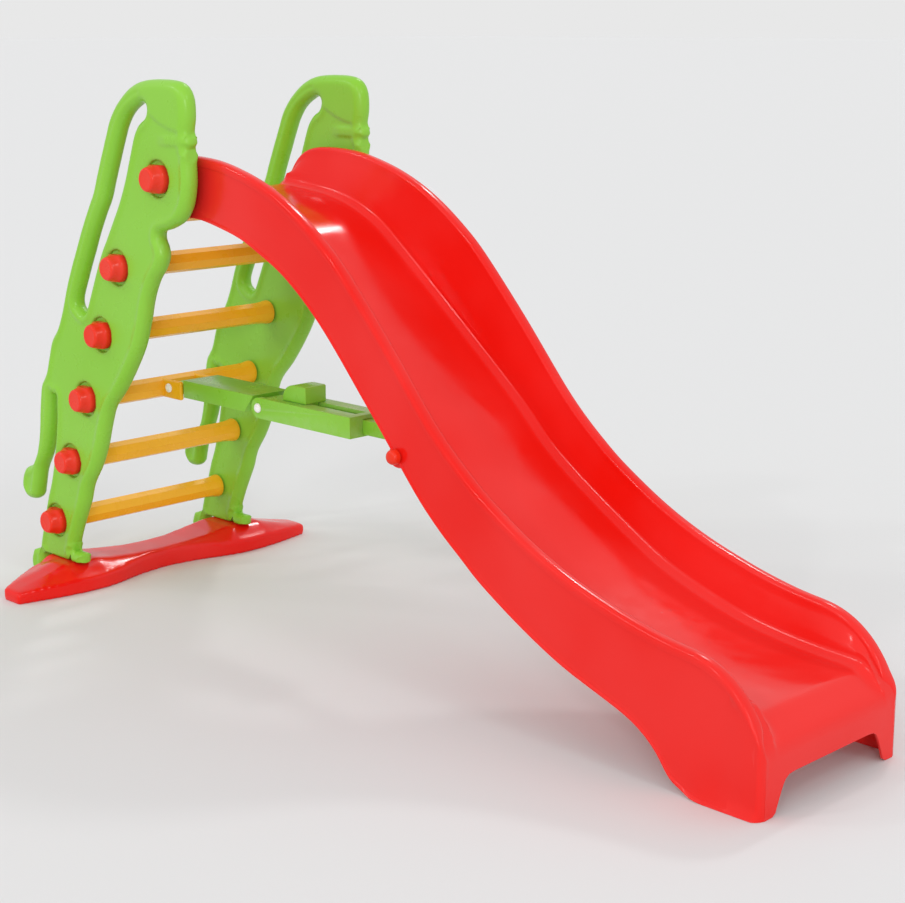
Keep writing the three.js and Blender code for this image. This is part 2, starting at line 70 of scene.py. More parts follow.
# ---- Places, from the frame. The lists' X is in millimetres from the foot bar's tips. ----
TIP_TO_MIDDLE = 824.5
PANEL_LOW, PANEL_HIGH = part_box("side_panel_near")
PANEL_MIDDLE = (PANEL_LOW.y + PANEL_HIGH.y) / 2
PANEL_HALF = (PANEL_HIGH.y - PANEL_LOW.y) / 2
CHUTE_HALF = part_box("chute")[1].y
SIDES = (("near", -1), ("far", 1))
RUNGS = ("rung_1", "rung_2", "rung_3", "rung_4", "rung_5")
CLEVIS_RUNG = "rung_3"
RUNG_RISE = 0.155
MERGE = 1e-5
WELL_RADIUS, WELL_DEPTH = 0.039, 0.0138
KNOB_FLAT = 0.0292
LANE_HALF = 0.138
APRON_SPREADS = (0.112, 0.128, 0.139, 0.147, 0.156, 0.166, 0.185)
APRON_HEIGHTS = (0.066, 0.0645, 0.058, 0.045, 0.025, 0.001, 0.0)
SKIRT_POINTS = 13

# Outline of a side panel: runs of points joined by corners.
PANEL_RUNS = (
    ((-198, 0), (-208, 12), (-211, 34), (-203, 56)),
    ((-172, 66), (-160, 106), (-131, 192), (-109, 245), (-93, 300), (-76, 380), (-70, 452)),
    ((-92, 456), (-100, 400), (-110, 345), (-128, 300), (-152, 262), (-168, 210), (-174, 192),
     (-190, 182), (-216, 183), (-234, 205), (-232, 232), (-218, 255), (-190, 268), (-164, 300),
     (-150, 352), (-142, 415), (-130, 468), (-108, 502), (-94, 540), (-78, 580), (-52, 612),
     (-32, 650), (-13, 698), (9, 746), (35, 796), (63, 848), (90, 893), (113, 930), (131, 972),
     (149, 1012), (167, 1050), (185, 1088), (214, 1122), (251, 1150), (289, 1166), (335, 1172),
     (398, 1172), (434, 1164), (453, 1140), (457, 1102), (450, 1064)),
    ((457, 1056), (458, 1044), (450, 1034)),
    ((455, 1008), (455, 962), (444, 918), (420, 886), (384, 868), (350, 858), (343, 846),
     (352, 828),
     (356, 804), (342, 776), (318, 748), (296, 706), (280, 655), (258, 600), (222, 545),
     (180, 492),
     (138, 448), (118, 405), (98, 350), (72, 300), (38, 252), (20, 206), (-8, 152), (-30, 104)),
    ((-38, 84), (-4, 84), (2, 76), (2, 60.4)),
    ((-156, 60.4), (-156, 0)),
)
HAND_SLOT = (
    (52, 654), (66, 664), (86, 704), (110, 754), (133, 798), (157, 834), (184, 876), (208, 914),
    (232, 962), (252, 1012), (270, 1056), (288, 1080), (312, 1096), (318, 1116), (300, 1124),
    (270, 1112), (244, 1094), (222, 1066), (205, 1032), (187, 992), (168, 950), (151, 910),
    (127, 874), (101, 830), (73, 776), (47, 726), (26, 678), (40, 660), (52, 654),
)
RIM_LINE = (
    (245, 931), (262, 955), (282, 984), (312, 1006), (352, 1015), (420, 1016), (486, 1010),
    (550, 996),
    (613, 977), (675, 951), (736, 917), (796, 875), (855, 825), (970, 704), (1083, 575),
    (1138, 520),
    (1192, 475), (1245, 436), (1348, 375), (1448, 330), (1548, 297), (1616, 279), (1681, 266),
    (1746, 257), (1790, 240), (1825, 214), (1850, 185), (1866, 158), (1876, 138), (1882, 122),
    (1884, 106),
)
FLOOR_LINE = (
    (245, 927), (283, 929), (362, 921), (427, 913), (490, 898), (551, 874), (600, 845), (700, 768),
    (850, 648), (996, 528), (1064, 463), (1107, 428), (1190, 372), (1280, 317), (1367, 267),
    (1427, 241),
    (1498, 216), (1571, 195), (1650, 180), (1726, 171), (1780, 167), (1815, 165), (1829, 163),
    (1838, 158), (1852, 147), (1866, 136), (1875, 128), (1880, 121), (1883, 113), (1884, 104),
)
HEM_LINE = (
    (245, 919), (288, 917), (322, 899), (380, 889), (431, 887), (497, 874), (562, 857), (624, 830),
    (686, 799), (746, 757), (805, 706), (862, 647), (919, 584), (975, 523), (1030, 460),
    (1085, 400),
    (1138, 352), (1191, 312), (1243, 273), (1345, 213), (1443, 165), (1538, 131), (1600, 108),
    (1640, 84), (1668, 58), (1690, 26), (1706, 14), (1724, 9), (1745, 2), (1765, 0), (1862, 0),
    (1876, 0), (1884, 0),
)


class SlideColours(bpy.types.PropertyGroup):
    """Colours of the slide's plastics."""

    green: FloatVectorProperty(
        name="Green", description="Side panels and brace", subtype="COLOR", size=3, min=0, max=1,
        default=(0.240, 0.56, 0.036))
    red: FloatVectorProperty(
        name="Red", description="Chute and foot bar", subtype="COLOR", size=3, min=0, max=1,
        default=(0.80, 0.008, 0.004))
    knob: FloatVectorProperty(
        name="Knob red", description="Screw knobs and rod caps", subtype="COLOR", size=3, min=0,
        max=1,
        default=(0.80, 0.026, 0.006))
    orange: FloatVectorProperty(
        name="Orange", description="Rungs", subtype="COLOR", size=3, min=0, max=1,
        default=(0.97, 0.49, 0.012))
    white: FloatVectorProperty(
        name="White", description="Brace pins", subtype="COLOR", size=3, min=0, max=1,
        default=(0.92, 0.92, 0.90))
    steel: FloatVectorProperty(
        name="Steel", description="Cross rod and foot bolts", subtype="COLOR", size=3, min=0,
        max=1,
        default=(0.55, 0.56, 0.58))
    backdrop: FloatVectorProperty(
        name="Backdrop", description="Floor behind the slide", subtype="COLOR", size=3, min=0,
        max=1,
        default=(0.705, 0.708, 0.712))


class SlideSizes(bpy.types.PropertyGroup):
    """Sizes that shape the mouldings."""

    panel_cell: FloatProperty(
        name="Panel cell", description="Mesh size of the side panels", default=0.0036, min=0.002,
        max=0.01, subtype="DISTANCE", unit="LENGTH")
    panel_round: FloatProperty(
        name="Panel rounding", description="How far in the side panels' edges start to round",
        default=0.022, min=0.002, max=0.04, subtype="DISTANCE", unit="LENGTH")
    sheet: FloatProperty(
        name="Chute wall", description="Thickness of the chute's moulding", default=0.0045,
        min=0.002,
        max=0.008, subtype="DISTANCE", unit="LENGTH")
    rim_width: FloatProperty(
        name="Rim width", description="Width of the bead along each side of the chute",
        default=0.028,
        min=0.01, max=0.05, subtype="DISTANCE", unit="LENGTH")
    floor_fillet: FloatProperty(
        name="Floor fillet", description="Radius between the chute's floor and its sides",
        default=0.026, min=0.005, max=0.04, subtype="DISTANCE", unit="LENGTH")
    brace_edge: FloatProperty(
        name="Brace edge", description="Rounding of the brace's edges", default=0.0022, min=0.0005,
        max=0.005, subtype="DISTANCE", unit="LENGTH")


# ---- Working with one object at a time ----
def only(piece):
    """Leaves just this piece selected and active."""
    bpy.ops.object.select_all(action="DESELECT")
    piece.select_set(True)
    bpy.context.view_layer.objects.active = piece
    return piece


def edit(piece):
    """Opens the piece in edit mode with all of it selected."""
    only(piece)
    bpy.ops.object.mode_set(mode="EDIT")
    bpy.ops.mesh.select_all(action="SELECT")


def leave():
    """Closes edit mode."""
    bpy.ops.object.mode_set(mode="OBJECT")


def modify(piece, kind, **settings):
    """Adds a modifier with these settings and applies it."""
    only(piece)
    modifier = piece.modifiers.new(kind.title(), kind)
    for name, value in settings.items():
        setattr(modifier, name, value)
    bpy.ops.object.modifier_apply(modifier=modifier.name)


def points_of(piece):
    """The piece's vertices as rows of x, y, z."""
    rows = np.empty(len(piece.data.vertices) * 3)
    piece.data.vertices.foreach_get("co", rows)
    return rows.reshape(-1, 3)


def move_points(piece, rows):
    """Puts the piece's vertices at these rows, inside the frame's box."""
    rows = np.clip(rows, np.array(CAD_LOW), np.array(CAD_HIGH))
    piece.data.vertices.foreach_set("co", rows.ravel())
    piece.data.update()


def copied(piece, shift=(0, 0, 0), flip=False):
    """A copy with its own mesh, mirrored across the slide if flip is set, then moved."""
    twin = bpy.data.objects.new(piece.name, piece.data.copy())
    bpy.context.scene.collection.objects.link(twin)
    rows = points_of(twin)
    if flip:
        rows[:, 1] *= -1
    twin.data.vertices.foreach_set("co", (rows + np.array(shift)).ravel())
    twin.data.update()
    if flip:
        edit(twin)
        bpy.ops.mesh.flip_normals()
        leave()
    return twin


def node_copy(node):
    """A merged copy of a node's mesh, ready to be shaped."""
    piece = bpy.data.objects.new(node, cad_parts[node].data.copy())
    bpy.context.scene.collection.objects.link(piece)
    only(piece)
    if piece.data.has_custom_normals:
        bpy.ops.mesh.customdata_custom_splitnormals_clear()
    edit(piece)
    bpy.ops.mesh.remove_doubles(threshold=MERGE)
    bpy.ops.mesh.dissolve_limited(angle_limit=math.radians(1))
    leave()
    return piece


def hand_over(piece, name, body, slot, nodes, smooth=35):
    """Names, shades and colours a finished piece, and puts it on its body for these nodes."""
    only(piece)
    bpy.ops.object.transform_apply(location=True, rotation=True, scale=True)
    bpy.ops.object.shade_smooth_by_angle(angle=math.radians(smooth))
    piece.name = piece.data.name = name
    piece.data.materials.clear()
    piece.data.materials.append(finish(slot))
    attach(piece, body)
    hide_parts(*nodes)
    return piece


def turned(profile, x, z, steps=48):
    """A closed shape turned about a line along Y through x, z, from pairs of radius and y."""
    (radius, place), *rest = profile
    bpy.ops.object.select_all(action="DESELECT")
    bpy.ops.mesh.primitive_circle_add(
        vertices=steps, radius=radius, fill_type="NGON", location=(x, place, z),
        rotation=(math.pi / 2, 0, 0))
    piece = bpy.context.object
    edit(piece)
    for next_radius, next_place in rest:
        bpy.ops.mesh.extrude_region_move(
            TRANSFORM_OT_translate={"value": (0, next_place - place, 0)})
        scale = next_radius / radius
        bpy.ops.transform.resize(value=(scale, 1, scale), center_override=(x, next_place, z))
        radius, place = next_radius, next_place
    bpy.ops.mesh.select_all(action="SELECT")
    bpy.ops.mesh.normals_make_consistent(inside=False)
    leave()
    only(piece)
    bpy.ops.object.transform_apply(location=True, rotation=True, scale=True)
    return piece


def middle_of(node):
    """The middle of a node's box."""
    low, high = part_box(node)
    return (low + high) / 2


# ---- Lines ----
def smooth_line(points, spacing):
    """Evenly spaced points on a smooth curve through the given ones, all in millimetres."""
    known = np.array(points, float)
    known = np.vstack([2 * known[0] - known[1], known, 2 * known[-1] - known[-2]])
    part = np.linspace(0, 1, 16, endpoint=False)[:, None]
    fine = []
    for a, b, c, d in zip(known, known[1:], known[2:], known[3:]):
        bend, twist = 2 * a - 5 * b + 4 * c - d, 3 * b - a - 3 * c + d
        fine.append(b + part * ((c - a) + part * (bend + part * twist)) / 2)
    fine = np.vstack([*fine, known[-2]])
    reach = np.concatenate([[0], np.cumsum(np.hypot(*np.diff(fine, axis=0).T))])
    count = max(2, int(round(reach[-1] / spacing)) + 1)
    even = np.linspace(0, reach[-1], count)
    return np.stack([np.interp(even, reach, fine[:, k]) for k in (0, 1)], axis=1)


def faired(points, blur, spacing=2.0, kept=50):
    """A smooth line with waves shorter than blur millimetres taken out, bar its last kept ones."""
    line = smooth_line(points, spacing)
    reach = int(3 * blur / spacing)
    before, after = 2 * line[0] - line[reach:0:-1], 2 * line[-1] - line[-2:-reach - 2:-1]
    padded = np.vstack([before, line, after])
    weight = np.exp(-0.5 * (np.arange(-reach, reach + 1) * spacing / blur) ** 2)
    weight /= weight.sum()
    eased_line = np.stack([np.convolve(padded[:, k], weight, "valid") for k in (0, 1)], axis=1)
    left = np.arange(len(line))[::-1] * spacing
    share = eased(left, kept, kept * 2)[:, None]
    return eased_line * share + line * (1 - share)


def eased(value, start, end):
    """0 before start, 1 after end, and smooth between them."""
    part = np.clip((value - start) / (end - start), 0, 1)
    return part * part * (3 - 2 * part)


# ---- Finishes ----
def plastic(name, colour, roughness, wear, shine=0.35, grain=0.00003, shift=0.03):
    """A moulded plastic: fine grain, slow colour shifts, a satin skin and paler edges."""
    material = bpy.data.materials.new(name)
    material.use_nodes = True
    nodes, links = material.node_tree.nodes, material.node_tree.links
    shader = nodes["Principled BSDF"]
    place = nodes.new("ShaderNodeTexCoord")

    def noise(scale, detail):
        made = nodes.new("ShaderNodeTexNoise")
        made.inputs["Scale"].default_value = scale
        made.inputs["Detail"].default_value = detail
        links.new(place.outputs["Object"], made.inputs["Vector"])
        return made.outputs["Fac"]

    def span(source, low, high, start=0.3, end=0.7):
        made = nodes.new("ShaderNodeMapRange")
        made.interpolation_type = "SMOOTHSTEP"
        limits = (("From Min", start), ("From Max", end), ("To Min", low), ("To Max", high))
        for socket, value in limits:
            made.inputs[socket].default_value = value
        links.new(source, made.inputs["Value"])
        return made.outputs["Result"]

    def mix(share, first, second):
        made = nodes.new("ShaderNodeMix")
        made.data_type = "RGBA"
        links.new(share, made.inputs["Factor"])
        for socket, source in ((made.inputs[6], first), (made.inputs[7], second)):
            if isinstance(source, tuple):
                socket.default_value = (*source, 1)
            else:
                links.new(source, socket)
        return made.outputs[2]

    darker = tuple(c * (1 - shift) for c in colour)
    paler = tuple(c + (1 - c) * shift * 0.5 for c in colour)
    slow = mix(span(noise(3.2, 2), 0, 1), darker, paler)
    worn = tuple(c + (1 - c) * 0.22 for c in colour)
    edges = nodes.new("ShaderNodeNewGeometry")
    share = nodes.new("ShaderNodeMath")
    share.operation = "MULTIPLY"
    links.new(span(edges.outputs["Pointiness"], 0, wear, 0.54, 0.64), share.inputs[0])
    links.new(span(noise(38, 3), 0.25, 1), share.inputs[1])
    links.new(mix(share.outputs[0], slow, worn), shader.inputs["Base Color"])
    links.new(span(noise(22, 4), roughness - 0.05, roughness + 0.06), shader.inputs["Roughness"])
    bump = nodes.new("ShaderNodeBump")
    bump.inputs["Distance"].default_value = grain
    bump.inputs["Strength"].default_value = 0.6
    links.new(noise(900, 2), bump.inputs["Height"])
    links.new(bump.outputs["Normal"], shader.inputs["Normal"])
    shader.inputs["IOR"].default_value = 1.5
    shader.inputs["Specular IOR Level"].default_value = shine
    return material


def finish(slot):
    """The material of a slot, made once."""
    found = bpy.data.materials.get("finish_" + slot)
    if found:
        return found
    colours = bpy.context.scene.slide_colours
    recipes = {
        "green_plastic": (colours.green, 0.30, 0.35, 0.28),
        "red_plastic": (colours.red, 0.16, 0.20, 0.24),
        "knob_plastic": (colours.knob, 0.24, 0.35, 0.26),
        "orange_plastic": (colours.orange, 0.28, 0.35, 0.28),
        "white_plastic": (colours.white, 0.30, 0.20, 0.45),
        "steel": (colours.steel, 0.30, 0.20, 0.50),
    }
    colour, roughness, wear, shine = recipes[slot]
    material = plastic("finish_" + slot, tuple(colour), roughness, wear, shine)
    if slot == "steel":
        material.node_tree.nodes["Principled BSDF"].inputs["Metallic"].default_value = 0.9
    return material


# ---- Side panels ----
def panel_loops(spacing):
    """The outline and the hand slot in metres, turning so that the plastic lies to their left."""
    outer = np.vstack([smooth_line(run, spacing) for run in PANEL_RUNS])
    slot = smooth_line(HAND_SLOT, spacing)[:-1]
    loops = []
    for loop, wanted in ((outer, 1), (slot, -1)):
        ahead = np.roll(loop, -1, axis=0)
        area = np.sum(loop[:, 0] * ahead[:, 1] - ahead[:, 0] * loop[:, 1])
        loop = loop if area * wanted > 0 else loop[::-1]
        loops.append((loop - (TIP_TO_MIDDLE, 0)) / 1000)
    return loops


def panel_blank(loops, low, high):
    """A flat plate between two heights in Y, cut along the loops."""
    corners, sides = [], []
    for loop in loops:
        first = len(corners)
        corners += [(x, low, z) for x, z in loop]
        sides += [(first + i, first + (i + 1) % len(loop)) for i in range(len(loop))]
    mesh = bpy.data.meshes.new("panel")
    mesh.from_pydata(corners, sides, [])
    piece = bpy.data.objects.new("panel", mesh)
    bpy.context.scene.collection.objects.link(piece)
    edit(piece)
    bpy.ops.mesh.fill(use_beauty=True)
    bpy.ops.mesh.select_all(action="SELECT")
    bpy.ops.mesh.extrude_region_move(TRANSFORM_OT_translate={"value": (0, high - low, 0)})
    bpy.ops.mesh.select_all(action="SELECT")
    bpy.ops.mesh.normals_make_consistent(inside=False)
    leave()
    return piece


def drill(piece, x, z, radius, low, high):
    """Cuts a round hole along Y."""
    tool = turned([(radius, low), (radius, high)], x, z, 64)
    modify(piece, "BOOLEAN", operation="DIFFERENCE", object=tool, solver="EXACT")
    bpy.data.objects.remove(tool)


def round_over(rows, loops, reach, half):
    """Rounds a plate's edges, moving each point across the edge from a square to a circle."""
    marks = np.vstack(loops)
    lefts = []
    for loop in loops:
        along = np.roll(loop, -1, axis=0) - np.roll(loop, 1, axis=0)
        along /= np.hypot(*along.T)[:, None]
        lefts.append(np.stack([-along[:, 1], along[:, 0]], axis=1))
    lefts = np.vstack(lefts)
    tree = KDTree(len(marks))
    for i, (x, z) in enumerate(marks):
        tree.insert((x, 0, z), i)
    tree.balance()
    near = np.array([tree.find((x, 0, z))[1] for x, _, z in rows])
    away = rows[:, [0, 2]] - marks[near]
    inside = np.sum(away * lefts[near], axis=1) >= 0
    depth = np.hypot(*away.T) * inside
    share = np.clip(rows[:, 1] / half, -1, 1)
    flat = np.abs(share) > 0.93
    share[flat] = np.sign(share[flat])
    depth[~flat & (depth < 0.0022)] = 0
    room = np.zeros(len(marks))
    np.maximum.at(room, near, depth)
    window = 9
    room = np.max([np.roll(room, k) for k in range(-window, window + 1)], axis=0)
    reach = np.minimum(reach, np.maximum(room[near], 0.004))
    across = np.clip(1 - depth / reach, 0, 1)
    rounded = across * np.sqrt(1 - share**2 / 2)
    risen = share * np.sqrt(1 - across**2 / 2)
    inward = away + lefts[near] * 0.001
    inward /= np.maximum(np.hypot(*inward.T), 1e-9)[:, None]
    moved = np.where(across > 0, reach * (1 - rounded), depth)
    out = rows.copy()
    spot = marks[near] + inward * moved[:, None]
    change = across > 0
    out[change, 0], out[change, 2] = spot[change, 0], spot[change, 1]
    out[:, 1] = risen * half
    return out, depth


def model_panel():
    """The near side panel about y = 0, its outer face towards -Y."""
    sizes = bpy.context.scene.slide_sizes
    half = PANEL_HALF
    piece = panel_blank(panel_loops(5.0), -half, half)
    wells = [middle_of(f"knob_near_{number}") for number in range(1, 6)]
    wells.append(middle_of("pivot_knob_near"))
    for place in wells:
        drill(piece, place.x, place.z, WELL_RADIUS, -half - 0.01, -half + WELL_DEPTH)
    modify(piece, "REMESH", mode="VOXEL", voxel_size=sizes.panel_cell, adaptivity=0)
    rows, depth = round_over(points_of(piece), panel_loops(1.5), sizes.panel_round, half)
    move_rows = relief(rows, depth)
    piece.data.vertices.foreach_set("co", move_rows.ravel())
    piece.data.update()
    modify(piece, "SMOOTH", factor=0.5, iterations=3)
    return piece


def relief(rows, depth):
    """Soft shapes on the panel's faces: a swollen body and a raised round top."""
    x, z = rows[:, 0] * 1000 + TIP_TO_MIDDLE, rows[:, 2] * 1000
    brow = 1068 + 62 * np.clip((430 - x) / 140, 0, 1) ** 1.7
    top = eased(z, brow - 3, brow + 5) * eased(x, 296, 306)
    strap = eased(z, 1036, 1042) * (1 - eased(z, 1057, 1063)) * eased(x, 352, 392)
    sunk = 0.0046 * eased(depth, 0.010, 0.030) * (1 - np.maximum(top, strap))
    out = rows.copy()
    out[:, 1] -= np.sign(rows[:, 1]) * sunk * (np.abs(rows[:, 1]) > 0.5 * PANEL_HALF)
    return out


class SLIDE_OT_side_panels(bpy.types.Operator):
    """Both side panels, each a leg, a handrail and a round top in one moulding"""

    bl_idname = "slide.side_panels"
    bl_label = "Side panels"

    def execute(self, context):
        first = model_panel()
        for word, side in SIDES:
            panel = copied(first, (0, side * abs(PANEL_MIDDLE), 0), flip=side > 0)
            move_points(panel, points_of(panel))
            hand_over(panel, f"panel_moulding_{word}", "ladder", "green_plastic",
                      [f"side_panel_{word}"], smooth=50)
        bpy.data.objects.remove(first)
        return {"FINISHED"}


# ---- Chute ----
def chute_section(rim, floor, hem, flush, sizes):
    """Half of the skin's section as y, z pairs in metres, from the hem to the middle of the floor.

    The bead stands proud of the skirt, less and less as flush goes from 0 to 1.
    """
    wall = max(rim - floor, 0.003)
    width = min(sizes.rim_width / 2, wall * 0.6)
    fillet = min(sizes.floor_fillet, wall - width)
    crown = CHUTE_HALF - 0.0005 - width
    skirt = CHUTE_HALF - 0.0005 - 0.0022 * (1 - flush)
    top = floor + wall - width
    hem = min(hem, top - 0.002)
    lip = CHUTE_HALF - 0.0002
    points = [(lip, hem), (lip, min(hem + 0.004, top - 0.001)),
              (skirt, min(hem + 0.007, top - 0.0006))]
    start = points[-1][1]
    bead = max(top - 0.006, start)
    points += [(skirt, start + (bead - start) * part) for part in np.linspace(0, 1, 11)[1:]]
    for turn in np.linspace(-0.25 * (1 - flush), math.pi, 19):
        across, up = math.cos(turn), math.sin(turn)
        points.append((crown + width * math.copysign(abs(across) ** 0.72, across),
                       top + width * math.copysign(abs(up) ** 0.72, up)))
    inner = crown - width
    toe = min(LANE_HALF + sizes.floor_fillet, inner)
    points += [(inner + (toe - inner) * part, top + (floor + fillet - top) * part)
               for part in (0.2, 0.4, 0.6, 0.8)]
    for turn in np.linspace(0, math.pi / 2, 9):
        points.append((LANE_HALF + (toe - LANE_HALF) * math.cos(turn),
                       floor + fillet * (1 - math.sin(turn))))
    points += [(y / 1000, floor)
               for y in (133, 128, 122, 116, 110, 104, 96, 84, 70, 54, 36, 18, 0)]
    return points


def arch_height(y):
    """Height of the apron's lower edge at y."""
    return float(np.interp(abs(y), APRON_SPREADS, APRON_HEIGHTS))


class SLIDE_OT_chute(bpy.types.Operator):
    """The chute: one skin from skirt to skirt, closed at the exit by an apron with an arch"""

    bl_idname = "slide.chute"
    bl_label = "Chute"

    def execute(self, context):
        sizes = context.scene.slide_sizes
        rim_line, hem_line = (faired(line, 14) for line in (RIM_LINE, HEM_LINE))
        floor_line = faired(FLOOR_LINE, 14, kept=62)
        stations = np.concatenate([
            smooth_line(rim_line[rim_line[:, 0] < 1800][::4], 7.5)[:-1, 0],
            np.arange(1800, 1868, 4.0),
            1884 - 16 * np.cos(np.linspace(0, math.pi / 2, 13))])
        heights = [np.interp(stations, line[:, 0], line[:, 1]) / 1000
                   for line in (rim_line, floor_line, hem_line)]
        rows = []
        for x, rim, floor, hem in zip(stations, *heights):
            half = chute_section(rim, floor, max(hem, 0), float(eased(x, 1790, 1862)), sizes)
            round_in = 0.012 * (1 - math.sqrt(max(0, 1 - max(0, (x - 1872) / 12) ** 2)))
            flare = 0.007 * float(eased(x, 1690, 1745) * (1 - eased(x, 1868, 1884)))
            across = [(y - round_in * float(eased(y, 0.170, 0.196))
                       + flare * float(1 - eased(z, 0.001, 0.014)) * (i < 6), z)
                      for i, (y, z) in enumerate(half)]
            across += [(-y, z) for y, z in across[-2::-1]]
            rows.append([((x - TIP_TO_MIDDLE) / 1000, y, z) for y, z in across])
        drop = SKIRT_POINTS
        last = rows[-1]
        width = len(last)
        for step in range(1, drop + 1):
            part = step / drop
            row = []
            for x, y, z in last[drop:width - drop]:
                low = arch_height(y)
                row.append((x + 0.0008 * math.sin(part * math.pi / 2), y, z + (low - z) * part))
            row[0], row[-1] = last[drop - step], last[width - 1 - drop + step]
            rows.append(row)
        piece = self.skin(rows, drop)
        modify(piece, "SOLIDIFY", thickness=sizes.sheet, offset=-1, use_even_offset=False)
        self.ears(piece)
        move_points(piece, points_of(piece))
        hand_over(piece, "chute_moulding", "chute_body", "red_plastic", ["chute"], smooth=40)
        return {"FINISHED"}

    def skin(self, rows, drop):
        """A grid of faces over the rows; the apron's rows are narrower by drop points a side.

        The apron's outer columns lie on the skirts' ends, so merging the doubles joins them.
        """
        corners = [p for row in rows for p in row]
        starts = np.cumsum([0] + [len(row) for row in rows])
        faces = []
        for r in range(len(rows) - 1):
            a, b = starts[r], starts[r + 1]
            if len(rows[r]) == len(rows[r + 1]):
                start = a
            else:
                start = a + drop
            faces += [(start + i, b + i, b + i + 1, start + i + 1)
                      for i in range(len(rows[r + 1]) - 1)]
        mesh = bpy.data.meshes.new("chute")
        mesh.from_pydata(
            [tuple(map(float, p)) for p in corners], [], [tuple(map(int, f)) for f in faces])
        piece = bpy.data.objects.new("chute", mesh)
        bpy.context.scene.collection.objects.link(piece)
        edit(piece)
        bpy.ops.mesh.remove_doubles(threshold=MERGE)
        bpy.ops.mesh.normals_make_consistent(inside=False)
        leave()
        middle = min(mesh.polygons, key=lambda f: (f.center - Vector((0, 0, 0.6))).length)
        if middle.normal.z < 0:
            edit(piece)
            bpy.ops.mesh.flip_normals()
            leave()
        return piece

    def ears(self, piece):
        """A boss inside each skirt, round the cross rod."""
        rod = middle_of("cross_rod")
        for _, side in SIDES:
            outer, inner = side * (CHUTE_HALF - 0.003), side * (CHUTE_HALF - 0.013)
            profile = [(0.022, outer), (0.024, outer - side * 0.004), (0.0235, inner),
                       (0.012, inner)]
            boss = turned(profile, rod.x, rod.z, 40)
            only(boss)
            piece.select_set(True)
            bpy.context.view_layer.objects.active = piece
            bpy.ops.object.join()


# ---- Rungs ----
def rung_blank(spigot, reach):
    """A rung about y = 0 with flared collars, soft facets and a spigot at each end."""
    collar = PANEL_HIGH.y + 0.0003
    half = [(spigot, collar - reach), (spigot, collar - 0.0002), (0.0278, collar),
            (0.0280, collar + 0.002), (0.0272, collar + 0.010), (0.0258, collar + 0.020),
            (0.0248, collar + 0.032)]
    half += [(0.0244, y) for y in np.linspace(collar + 0.045, 0, 12)]
    profile = half + [(r, -y) for r, y in half[-2::-1]]
    piece = turned(profile, 0, 0, 80)
    rows = points_of(piece)
    radius = np.hypot(rows[:, 0], rows[:, 2])
    angle = np.arctan2(rows[:, 2], rows[:, 0])
    step = math.pi / 4
    off = np.mod(angle, step) - step / 2
    facet = math.cos(step / 2) / np.cos(off)
    ridge = 0.016 * np.exp(-((np.abs(off) - step / 2) / 0.07) ** 2)
    share = 0.9 * (radius > 0.024) * eased(-np.abs(rows[:, 1]), collar + 0.004, collar + 0.030)
    scale = 1 + share * (facet - 1 + ridge * 0.6)
    rows[:, 0] *= scale
    rows[:, 2] *= scale
    piece.data.vertices.foreach_set("co", rows.ravel())
    piece.data.update()
    return piece


def block(low, high, edge):
    """A box between two corners with its edges rounded."""
    bpy.ops.object.select_all(action="DESELECT")
    bpy.ops.mesh.primitive_cube_add(size=1, location=tuple((a + b) / 2 for a, b in zip(low, high)))
    piece = bpy.context.object
    piece.dimensions = tuple(b - a for a, b in zip(low, high))
    bpy.ops.object.transform_apply(location=True, rotation=True, scale=True)
    modify(piece, "BEVEL", width=edge, segments=4, limit_method="ANGLE",
           angle_limit=math.radians(40))
    return piece


def clevis(back):
    """The clevis on the middle rung: an ear each side of the brace's link."""
    pin, high = middle_of("clevis_pin"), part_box(CLEVIS_RUNG)[1]
    ears = []
    for _, side in SIDES:
        near, away = sorted((side * 0.0401, side * 0.0519))
        ears.append(block((back, near, pin.z - 0.025), (high.x, away, pin.z + 0.019), 0.0055))
    return ears


class SLIDE_OT_rungs(bpy.types.Operator):
    """The five rungs and the rod under the platform; the middle rung carries the brace's clevis"""

    bl_idname = "slide.rungs"
    bl_label = "Rungs"

    def execute(self, context):
        low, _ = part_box("rung_1")
        rung = rung_blank(0.0146, abs(low.y) + PANEL_HIGH.y)
        for node in RUNGS:
            low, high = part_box(node)
            centre = (low.x + 0.028, 0, (low.z + high.z) / 2)
            if node == CLEVIS_RUNG:
                centre = (low.x + 0.029, 0, middle_of("rung_2").z + RUNG_RISE)
            piece = copied(rung, centre)
            for arm in clevis(centre[0]) if node == CLEVIS_RUNG else ():
                modify(piece, "BOOLEAN", operation="UNION", object=arm, solver="EXACT")
                bpy.data.objects.remove(arm)
            hand_over(piece, node + "_bar", "ladder", "orange_plastic", [node])
        low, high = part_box("top_rung")
        blank = rung_blank(0.012, abs(low.y) + PANEL_HIGH.y)
        top = copied(blank, ((low.x + high.x) / 2, 0, (low.z + high.z) / 2))
        bpy.data.objects.remove(blank)
        hand_over(top, "top_rung_bar", "ladder", "orange_plastic", ["top_rung"])
        bpy.data.objects.remove(rung)
        return {"FINISHED"}


